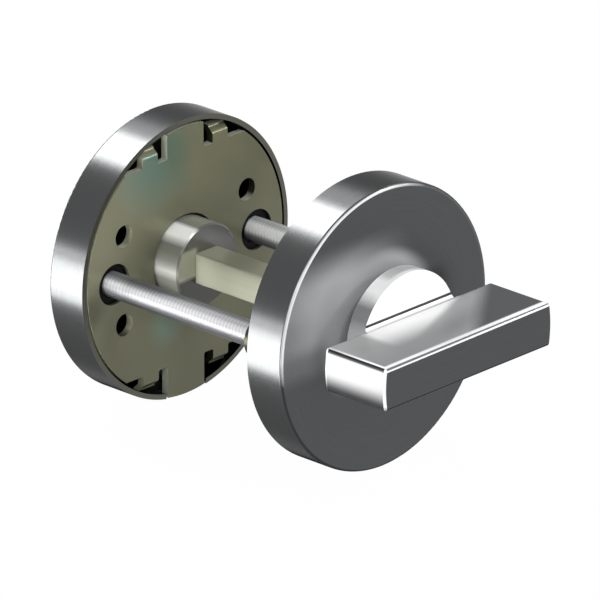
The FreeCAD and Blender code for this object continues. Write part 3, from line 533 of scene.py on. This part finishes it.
lip = add(tree, "Math", {0: along, 1: -0.0121, 2: axes["Y"]}, operation="MULTIPLY_ADD")
lip = add(tree, "MapRange", {"Value": lip, "From Min": bar_front + 0.0013, "From Max": bar_front + 0.0008})
lip = combine(tree, "MULTIPLY", (lip, on_top))
foot_edge_shade = combine(tree, "MULTIPLY", (forward, downward))

# The left end, painted with its light and shade: its upper edge, dark below and white above, with a lip of
# painted highlight on the top, its flat, pale above and dark below and in a strip under the edge, and its
# upright corners at the front and the back.
upward = add(tree, "MapRange", {"Value": facing["Z"], "From Min": 0.10, "From Max": 0.18})
end_edge = combine(tree, "MULTIPLY", (leftward, upward))
upward = add(tree, "MapRange", {"Value": facing["Z"], "From Min": 0.84, "From Max": 0.95})
end_edge_tone = add(tree, "MixRGB", {0: upward, 1: linear("#1e1f21"), 2: linear("#f4f4f5")})
end_lip = add(tree, "MapRange", {"Value": axes["X"], "From Min": bar_end + 0.0013,
                                 "From Max": bar_end + 0.0009})
end_lip = combine(tree, "MULTIPLY", (end_lip, on_top))
end_flat = add(tree, "MapRange", {"Value": facing["X"], "From Min": -0.85, "From Max": -0.95})
upper = add(tree, "MapRange", {"Value": axes["Z"], "From Min": -0.0036, "From Max": -0.0001},
            interpolation_type="SMOOTHSTEP")
under_edge = add(tree, "MapRange", {"Value": axes["Z"], "From Min": BAR_HALF_HEIGHT - 0.0009,
                                    "From Max": BAR_HALF_HEIGHT - 0.0006})
end_flat_tone = add(tree, "MixRGB", {0: upper, 1: linear("#303133"), 2: linear("#ababab")})
end_flat_tone = add(tree, "MixRGB", {0: under_edge, 1: end_flat_tone, 2: linear("#2a2b2d")})
front_corner = combine(tree, "MULTIPLY", (forward, leftward))
upper = add(tree, "MapRange", {"Value": axes["Z"], "From Min": -BAR_HALF_HEIGHT,
                               "From Max": 0.001 - BAR_HALF_HEIGHT})
front_corner_tone = add(tree, "MixRGB", {0: upper, 1: linear("#4a4b4d"), 2: linear("#ececed")})
back_corner = add(tree, "MapRange", {"Value": axes["Y"], "From Min": disc_front - 0.0007,
                                     "From Max": disc_front - 0.0005})
back_corner = combine(tree, "MULTIPLY", (back_corner, leftward))
upper = add(tree, "MapRange", {"Value": axes["Z"], "From Min": -0.0034, "From Max": -0.0006})
back_corner_tone = add(tree, "MixRGB", {0: upper, 1: linear("#48494b"), 2: linear("#f0f0f1")})

# The disc and the neck, painted with their light and reflections: bright and dark flanks round their sides, a
# white brim except at the left, and white faces, with a dark seam of painted shade just above the bar.
on_disc = add(tree, "MapRange", {"Value": axes["Y"], "From Min": disc_front - 0.0007,
                                 "From Max": disc_front - 0.0003})
off_axis = add(tree, "Math", {0: axes["X"]}, operation="ABSOLUTE")
within_disc = add(tree, "MapRange", {"Value": off_axis, "From Min": disc_radius + 0.0007,
                                     "From Max": disc_radius + 0.0003})
on_disc = combine(tree, "MULTIPLY", (on_disc, within_disc))
squareness = add(tree, "Math", {0: facing["Y"]}, operation="ABSOLUTE")
disc_face = add(tree, "MapRange", {"Value": squareness, "From Min": 0.2, "From Max": 0.5})
brim_highlight = add(tree, "MapRange", {"Value": axes["Y"], "From Min": disc_front + 0.0015,
                              "From Max": disc_front + 0.0006})
off_left = add(tree, "MapRange", {"Value": axes["X"], "From Min": -0.009, "From Max": -0.0065})
brim_highlight = combine(tree, "MULTIPLY", (brim_highlight, off_left))
seam_shade = add(tree, "Math", {0: axes["Z"], 1: BAR_HALF_HEIGHT + 0.0009, 2: 0.00026}, operation="COMPARE")
seam_shade = combine(tree, "MULTIPLY", (seam_shade, disc_face))
disc_light_and_shade = tones_round(tree, direction_round(tree, axes["X"], axes["Z"]), "#c0c1c2", (
    (60, "#d8d8d9"), (90, "#b9babb"), (104, "#cfd0d1"), (112, "#ffffff"), (125, "#ffffff"),
    (132, "#dadbdc"), (141, "#858788"), (152, "#8a8c8d"), (163, "#bbbcbd"), (175, "#d2d3d4"),
    (190, "#d0d1d2"), (215, "#d0d1d2"), (230, "#d4d5d6")))
for mask, colour in ((disc_face, "#ffffff"), (brim_highlight, "#ffffff"), (seam_shade, "#434446")):
    disc_light_and_shade = add(tree, "MixRGB", {0: mask, 1: disc_light_and_shade, 2: linear(colour)})

tone = add(tree, "MixRGB", {0: ground, 1: linear("#4d4e50"), 2: linear("#5a5b5d")})
# The bar's top keeps a tone a shade paler than its front, a painted light.
for mask, colour in ((on_top, linear("#646567")), (matt_top, top_light_and_shade), (root_reflection, linear("#f4f4f4")),
                     (top_edge, top_edge_highlight), (end_edge, end_edge_tone), (end_flat, end_flat_tone),
                     (end_lip, linear("#eeeeef")), (foot_edge_shade, linear("#1c1d1f")),
                     (back_corner, back_corner_tone), (front_corner, front_corner_tone),
                     (crest, linear("#f0f0f1")), (root_line, linear("#8c8d8e")),
                     (lip, linear("#e6e7e7")), (on_disc, disc_light_and_shade)):
    tone = add(tree, "MixRGB", {0: mask, 1: tone, 2: colour})
matt = combine(tree, "MAXIMUM", (matt_top, on_disc, front_corner, lip, end_lip, top_edge, end_edge,
                                 end_flat, back_corner, crest))
metal = add(tree, "MapRange", {"Value": matt, "To Min": 1, "To Max": 0.06})
gloss = add(tree, "MapRange", {"Value": matt, "To Min": 0.2, "To Max": 0.3})
relief = add(tree, "Bump", {"Height": ground, "Strength": 0.05, "Distance": 0.0001})
shader = add(tree, "BsdfPrincipled", {"Base Color": tone, "Metallic": metal, "Roughness": gloss,
                                      "Specular IOR Level": 0.1, "Specular Tint": (0.5, 0.5, 0.5, 1),
                                      "Normal": relief})
add(tree, "OutputMaterial", {"Surface": shader})
dress_node("thumb_turn", satin_bar)


# Release hub: turned from steel bar, with the coin button outside and the socketed collar inside. The lathe's
# feed leaves faint rings on its ends, drawn 0.25 mm apart, and its sides carry painted highlights and shade.
# The thrust washers are punched from sheet and plated as the bolts are.
FEED = 0.00025
turned, tree, place = new_material("turned_steel")
axes = add(tree, "SeparateXYZ", {0: place}).node.outputs
facing = add(tree, "SeparateXYZ", {0: place.node.outputs["Normal"]}).node.outputs
flat_place = add(tree, "CombineXYZ", {"X": axes["X"], "Z": axes["Z"]})
from_axis = add(tree, "VectorMath", {0: flat_place}, operation="LENGTH").node.outputs["Value"]
across = add(tree, "Math", {0: from_axis, 1: axes["Y"]}, operation="ADD")
feed_place = add(tree, "CombineXYZ", {
    "X": add(tree, "Math", {0: across, 1: 1 / FEED}, operation="MULTIPLY")})
feed_rings = add(tree, "TexNoise", {"Vector": feed_place, "Scale": 1, "Detail": 2})

# The ends: paler toward the top, a painted light, and paler still on the collar to the left of the spindle, a
# painted reflection of the spindle.
in_door = add(tree, "MapRange", {"Value": axes["Y"], "From Min": door_back, "From Max": door_back - 0.001})
beside_spindle = add(tree, "MapRange", {"Value": axes["X"], "From Min": -0.0022, "From Max": -0.0032})
off_middle = add(tree, "Math", {0: axes["Z"], 1: 0.0013}, operation="SUBTRACT")
off_middle = add(tree, "Math", {0: off_middle}, operation="ABSOLUTE")
spindle_reflection = add(tree, "MapRange", {"Value": off_middle, "From Min": 0.0033, "From Max": 0.0025})
spindle_reflection = combine(tree, "MULTIPLY", (spindle_reflection, beside_spindle, in_door))
upper = add(tree, "MapRange", {"Value": axes["Z"], "From Min": -0.001, "From Max": 0.005})
end_tone = add(tree, "MixRGB", {0: upper, 1: linear("#4d4d4b"), 2: linear("#727270")})
end_tone = add(tree, "MixRGB", {0: spindle_reflection, 1: end_tone, 2: linear("#9c9d8c")})
ring_tone = add(tree, "MixRGB", {0: feed_rings, 1: end_tone, 2: linear("#6a6a67")})
end_tone = add(tree, "MixRGB", {0: 0.15, 1: end_tone, 2: ring_tone})

# The sides: painted highlights and shade by direction, and painted shade on the bevels.
squareness = add(tree, "Math", {0: facing["Y"]}, operation="ABSOLUTE")
on_side = add(tree, "MapRange", {"Value": squareness, "From Min": 0.97, "From Max": 0.9})
bevel_shade = add(tree, "MapRange", {"Value": squareness, "From Min": 0.2, "From Max": 0.5,
                               "To Min": 1, "To Max": 0.42})
side_tone = tones_round(tree, direction_round(tree, axes["X"], axes["Z"]), "#6f706e", (
    (60, "#8c8d8b"), (90, "#86877f"), (104, "#86877f"), (111, "#ffffff"), (128, "#ffffff"),
    (134, "#d2d3ce"), (142, "#7f8079"), (152, "#87887d"), (165, "#a3a49d"), (178, "#d9dad5"),
    (190, "#8a8b84"), (210, "#66675e"), (225, "#6b6c67"), (243, "#82837f")))
side_tone = add(tree, "VectorMath", {0: side_tone, "Scale": bevel_shade}, operation="SCALE")
tone = add(tree, "MixRGB", {0: on_side, 1: end_tone, 2: side_tone})
end_metal = add(tree, "MapRange", {"Value": spindle_reflection, "To Min": 1, "To Max": 0.4})
side_metal = add(tree, "MapRange", {"Value": on_side, "To Min": 1, "To Max": 0.12})
metal = add(tree, "Math", {0: end_metal, 1: side_metal}, operation="MINIMUM")
relief = add(tree, "Bump", {"Height": feed_rings, "Strength": 0.04, "Distance": 0.0001})
shader = add(tree, "BsdfPrincipled", {"Base Color": tone, "Metallic": metal, "Roughness": 0.25,
                                      "Specular IOR Level": 0.2, "Normal": relief})
add(tree, "OutputMaterial", {"Surface": shader})
dress_node("release_hub", turned)
dress_node("turn_washer", bright_zinc)
dress_node("release_washer", bright_zinc)


# Retaining rings and the socketed grub screw: hardened spring steel and alloy steel, left black from
# the oil quench with a slight blue sheen, in flecks a little under a millimetre wide.
QUENCH_FLECK = 1 / 1200
blackened, tree, place = new_material("oil_blackened_steel")
flecks = add(tree, "TexNoise", {"Vector": place, "Scale": 1 / QUENCH_FLECK, "Detail": 3})
tone = add(tree, "MixRGB", {0: flecks, 1: linear("#26272b"), 2: linear("#34363c")})
gloss = add(tree, "MapRange", {"Value": flecks, "From Min": 0.3, "From Max": 0.7,
                               "To Min": 0.35, "To Max": 0.5})
shader = add(tree, "BsdfPrincipled", {"Base Color": tone, "Metallic": 1, "Roughness": gloss})
add(tree, "OutputMaterial", {"Surface": shader})
for name in ("turn_retaining_ring", "release_retaining_ring", "spindle_grub_screw"):
    dress_node(name, blackened)


# Studio: a white table that keeps a faint shadow, a white room, and soft panel lamps whose images in
# the brushed steel are its bright bands. Three more panels lie face up on the table, behind the lock's
# left side.
TABLE_SIZE = 30
ABOVE_TABLE = 0.0005
FACE_UP = (0, 1, 0, 0)
LAMP_DISTANCE = 1.5
LAMP_AIM = Vector((0, 0.02, 0))


def shown(tree):
    """1 for a ray that shows the room to the camera, straight or by a mirror or glass, or else 0."""
    rays = tree.nodes.new("ShaderNodeLightPath").outputs
    return combine(tree, "MAXIMUM", (rays["Is Camera Ray"], rays["Is Glossy Ray"],
                                     rays["Is Transmission Ray"]))


def panel_lamp(name, location, rotation, wide, high, brightness):
    """A soft rectangular panel, whose brightness doesn't change with its size."""
    data = bpy.data.lights.new(name, "AREA")
    data.shape = "RECTANGLE"
    data.size = wide
    data.size_y = high
    data.energy = brightness * wide * high * math.pi
    lamp = bpy.data.objects.new(name, data)
    lamp.rotation_mode = "QUATERNION"
    lamp.location = location
    lamp.rotation_quaternion = rotation
    bpy.context.scene.collection.objects.link(lamp)


table_white, tree, place = new_material("white_table")
whiteness = add(tree, "Math", {0: shown(tree), 1: 0.985}, operation="MULTIPLY")
paper = add(tree, "BsdfDiffuse", {"Color": linear("#f2f2f2")})
glow = add(tree, "Emission", {"Color": (1, 1, 1, 1), "Strength": 1})
surface = add(tree, "MixShader", {0: whiteness, 1: paper, 2: glow})
add(tree, "OutputMaterial", {"Surface": surface})
bpy.ops.mesh.primitive_plane_add(size=TABLE_SIZE, location=(0, 0, cad_low.z))
table = bpy.context.object
table.name = "table"
table.data.materials.append(table_white)
table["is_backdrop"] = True

world = bpy.data.worlds.new("white_room")
bpy.context.scene.world = world
world.use_nodes = True
tree = world.node_tree
tree.nodes.clear()
strength = add(tree, "MapRange", {"Value": shown(tree), "To Min": 0.35, "To Max": 1})
room = add(tree, "Background", {"Color": (1, 1, 1, 1), "Strength": strength})
add(tree, "OutputWorld", {"Surface": room})

for name, toward, wide, high, brightness in (
        ("back_overhead_panel", (0.047, 0.634, 0.773), 0.60, 0.26, 26),
        ("back_side_panel", (0.398, 0.634, 0.663), 0.58, 0.26, 4.5),
        ("front_overhead_panel", (0.01, -0.634, 0.773), 0.40, 0.20, 26),
        ("front_left_panel", (-0.62, -0.634, 0.46), 0.80, 0.40, 7),
        ("low_back_panel", (-0.773, 0.634, 0.035), 0.30, 0.08, 14),
        ("front_right_panel", (0.675, -0.634, 0.376), 0.30, 0.30, 24)):
    way = Vector(toward).normalized()
    panel_lamp(name, LAMP_AIM + way * LAMP_DISTANCE, way.to_track_quat("Z", "Y"), wide, high, brightness)
for name, x, y, wide, high in (("near_table_panel", -0.106, 0.085, 0.09, 0.15),
                               ("middle_table_panel", -0.226, 0.185, 0.15, 0.20),
                               ("far_table_panel", -0.401, 0.328, 0.20, 0.25)):
    panel_lamp(name, (x, y, cad_low.z + ABOVE_TABLE), FACE_UP, wide, high, 16)


# Camera: a long lens well back from the set, as a catalogue picture is taken, looking a little down
# and turned to look past the turn at the inside of the release's rose.
AZIMUTH = math.radians(-46.770)
ELEVATION = math.radians(22.105)
DISTANCE = 2.347
AIM_RIGHT = -0.00928
AIM_UP = 0.00283
back = Vector((math.sin(AZIMUTH) * math.cos(ELEVATION), -math.cos(AZIMUTH) * math.cos(ELEVATION),
               math.sin(ELEVATION)))
right = Vector((math.cos(AZIMUTH), math.sin(AZIMUTH), 0))
up = back.cross(right)
aim = AIM_RIGHT * right + AIM_UP * up
camera_data = bpy.data.cameras.new("camera")
camera_data.sensor_width = 36
camera_data.lens = 767.4
camera = bpy.data.objects.new("camera", camera_data)
camera.location = back * DISTANCE
camera.rotation_mode = "QUATERNION"
camera.rotation_quaternion = (aim - camera.location).to_track_quat("-Z", "Y")
bpy.context.scene.collection.objects.link(camera)
bpy.context.scene.camera = camera
bpy.context.scene.view_settings.view_transform = "Standard"


low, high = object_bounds()
